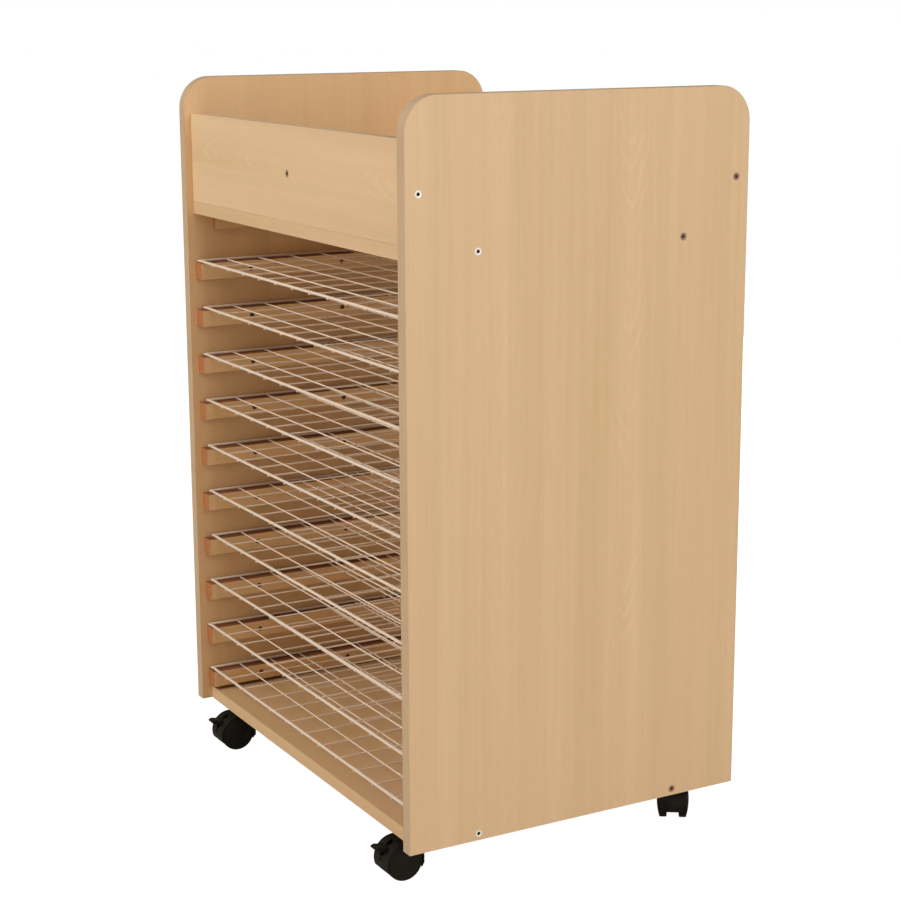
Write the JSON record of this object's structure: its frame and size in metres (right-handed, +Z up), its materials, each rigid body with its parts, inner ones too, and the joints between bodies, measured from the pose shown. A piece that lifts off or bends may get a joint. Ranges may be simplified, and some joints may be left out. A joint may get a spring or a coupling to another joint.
{
  "type": "art drying rack",
  "caption": "Mobile art drying rack: wooden cabinet with sliding wire shelves on runners, an open tray on top and castors, braked at the front.",
  "frame": {"origin": "on the floor, at the middle of the rack's bounding box, brake levers included", "axes": "+Z up, -Y to the front, where the shelves slide out and the brake levers are, +X to the right panel as seen from the front"},
  "size_m": [0.69, 0.5124, 1.0018],
  "materials": {
    "laminate": "satin, beech-effect laminate on board",
    "edging": "satin, beech-effect plastic edging",
    "runner_wood": "plain sawn and sanded softwood, lightly oiled",
    "dowel_wood": "plain beech",
    "white_wire": "white coating, slight sheen",
    "screw_steel": "bright nickel plate",
    "castor_plastic": "black moulded nylon, fine grain",
    "castor_steel": "zinc plate"
  },
  "bodies": {
    "frame": {"base_board": "laminate", "board_screws": "screw_steel", "castor_plate_front_left": "castor_steel", "castor_plate_front_right": "castor_steel", "castor_plate_rear_left": "castor_steel", "castor_plate_rear_right": "castor_steel", "castor_screws": "screw_steel", "castor_stems": "castor_steel", "panel_edging_left": "edging", "panel_edging_right": "edging", "runner_pair_01": "runner_wood", "runner_pair_02": "runner_wood", "runner_pair_03": "runner_wood", "runner_pair_04": "runner_wood", "runner_pair_05": "runner_wood", "runner_pair_06": "runner_wood", "runner_pair_07": "runner_wood", "runner_pair_08": "runner_wood", "runner_pair_09": "runner_wood", "runner_pair_10": "runner_wood", "runner_screws": "screw_steel", "side_panel_left": "laminate", "side_panel_right": "laminate", "stem_clips": "castor_steel", "tray_back_rail": "laminate", "tray_board": "laminate", "tray_cleats": "laminate", "tray_divider": "laminate", "tray_dowels": "dowel_wood", "tray_front_rail": "laminate"},
    "shelf_01": {"wire_shelf_01": "white_wire"},
    "shelf_02": {"wire_shelf_02": "white_wire"},
    "shelf_03": {"wire_shelf_03": "white_wire"},
    "shelf_04": {"wire_shelf_04": "white_wire"},
    "shelf_05": {"wire_shelf_05": "white_wire"},
    "shelf_06": {"wire_shelf_06": "white_wire"},
    "shelf_07": {"wire_shelf_07": "white_wire"},
    "shelf_08": {"wire_shelf_08": "white_wire"},
    "shelf_09": {"wire_shelf_09": "white_wire"},
    "shelf_10": {"wire_shelf_10": "white_wire"},
    "castor_front_left": {"castor_hood_front_left": "castor_plastic", "castor_axle_front_left": "castor_steel", "brake_pin_front_left": "castor_steel"},
    "wheel_front_left_left": {"castor_wheel_front_left_left": "castor_plastic"},
    "wheel_front_left_right": {"castor_wheel_front_left_right": "castor_plastic"},
    "brake_front_left": {"brake_lever_front_left": "castor_plastic"},
    "castor_rear_left": {"castor_hood_rear_left": "castor_plastic", "castor_axle_rear_left": "castor_steel"},
    "wheel_rear_left_left": {"castor_wheel_rear_left_left": "castor_plastic"},
    "wheel_rear_left_right": {"castor_wheel_rear_left_right": "castor_plastic"},
    "castor_front_right": {"castor_hood_front_right": "castor_plastic", "castor_axle_front_right": "castor_steel", "brake_pin_front_right": "castor_steel"},
    "wheel_front_right_left": {"castor_wheel_front_right_left": "castor_plastic"},
    "wheel_front_right_right": {"castor_wheel_front_right_right": "castor_plastic"},
    "brake_front_right": {"brake_lever_front_right": "castor_plastic"},
    "castor_rear_right": {"castor_hood_rear_right": "castor_plastic", "castor_axle_rear_right": "castor_steel"},
    "wheel_rear_right_left": {"castor_wheel_rear_right_left": "castor_plastic"},
    "wheel_rear_right_right": {"castor_wheel_rear_right_right": "castor_plastic"}
  },
  "joints": [
    {"name": "shelf_01_slide", "type": "slide", "parent": "frame", "child": "shelf_01", "axis": [0, -1, 0], "range_m": [0, 0.5]},
    {"name": "shelf_02_slide", "type": "slide", "parent": "frame", "child": "shelf_02", "axis": [0, -1, 0], "range_m": [0, 0.5]},
    {"name": "shelf_03_slide", "type": "slide", "parent": "frame", "child": "shelf_03", "axis": [0, -1, 0], "range_m": [0, 0.5]},
    {"name": "shelf_04_slide", "type": "slide", "parent": "frame", "child": "shelf_04", "axis": [0, -1, 0], "range_m": [0, 0.5]},
    {"name": "shelf_05_slide", "type": "slide", "parent": "frame", "child": "shelf_05", "axis": [0, -1, 0], "range_m": [0, 0.5]},
    {"name": "shelf_06_slide", "type": "slide", "parent": "frame", "child": "shelf_06", "axis": [0, -1, 0], "range_m": [0, 0.5]},
    {"name": "shelf_07_slide", "type": "slide", "parent": "frame", "child": "shelf_07", "axis": [0, -1, 0], "range_m": [0, 0.5]},
    {"name": "shelf_08_slide", "type": "slide", "parent": "frame", "child": "shelf_08", "axis": [0, -1, 0], "range_m": [0, 0.5]},
    {"name": "shelf_09_slide", "type": "slide", "parent": "frame", "child": "shelf_09", "axis": [0, -1, 0], "range_m": [0, 0.5]},
    {"name": "shelf_10_slide", "type": "slide", "parent": "frame", "child": "shelf_10", "axis": [0, -1, 0], "range_m": [0, 0.5]},
    {"name": "castor_front_left_swivel", "type": "hinge", "parent": "frame", "child": "castor_front_left", "pos_m": [-0.2685, -0.20085, 0.025], "axis": [0, 0, 1], "continuous": true},
    {"name": "wheel_front_left_left_spin", "type": "hinge", "parent": "castor_front_left", "child": "wheel_front_left_left", "pos_m": [-0.2685, -0.21935, 0.025], "axis": [1, 0, 0], "continuous": true},
    {"name": "wheel_front_left_right_spin", "type": "hinge", "parent": "castor_front_left", "child": "wheel_front_left_right", "pos_m": [-0.2685, -0.21935, 0.025], "axis": [1, 0, 0], "continuous": true},
    {"name": "brake_front_left_press", "type": "hinge", "parent": "castor_front_left", "child": "brake_front_left", "pos_m": [-0.2685, -0.23236, 0.037], "axis": [1, 0, 0], "range_deg": [0, 12]},
    {"name": "castor_rear_left_swivel", "type": "hinge", "parent": "frame", "child": "castor_rear_left", "pos_m": [-0.2685, 0.21315, 0.025], "axis": [0, 0, 1], "continuous": true},
    {"name": "wheel_rear_left_left_spin", "type": "hinge", "parent": "castor_rear_left", "child": "wheel_rear_left_left", "pos_m": [-0.28384, 0.20281, 0.025], "axis": [0.5592, -0.829, 0], "continuous": true},
    {"name": "wheel_rear_left_right_spin", "type": "hinge", "parent": "castor_rear_left", "child": "wheel_rear_left_right", "pos_m": [-0.28384, 0.20281, 0.025], "axis": [0.5592, -0.829, 0], "continuous": true},
    {"name": "castor_front_right_swivel", "type": "hinge", "parent": "frame", "child": "castor_front_right", "pos_m": [0.2685, -0.20085, 0.025], "axis": [0, 0, 1], "continuous": true},
    {"name": "wheel_front_right_left_spin", "type": "hinge", "parent": "castor_front_right", "child": "wheel_front_right_left", "pos_m": [0.2685, -0.21935, 0.025], "axis": [1, 0, 0], "continuous": true},
    {"name": "wheel_front_right_right_spin", "type": "hinge", "parent": "castor_front_right", "child": "wheel_front_right_right", "pos_m": [0.2685, -0.21935, 0.025], "axis": [1, 0, 0], "continuous": true},
    {"name": "brake_front_right_press", "type": "hinge", "parent": "castor_front_right", "child": "brake_front_right", "pos_m": [0.2685, -0.23236, 0.037], "axis": [1, 0, 0], "range_deg": [0, 12]},
    {"name": "castor_rear_right_swivel", "type": "hinge", "parent": "frame", "child": "castor_rear_right", "pos_m": [0.2685, 0.21315, 0.025], "axis": [0, 0, 1], "continuous": true},
    {"name": "wheel_rear_right_left_spin", "type": "hinge", "parent": "castor_rear_right", "child": "wheel_rear_right_left", "pos_m": [0.28384, 0.20281, 0.025], "axis": [0.5592, 0.829, 0], "continuous": true},
    {"name": "wheel_rear_right_right_spin", "type": "hinge", "parent": "castor_rear_right", "child": "wheel_rear_right_right", "pos_m": [0.28384, 0.20281, 0.025], "axis": [0.5592, 0.829, 0], "continuous": true}
  ]
}
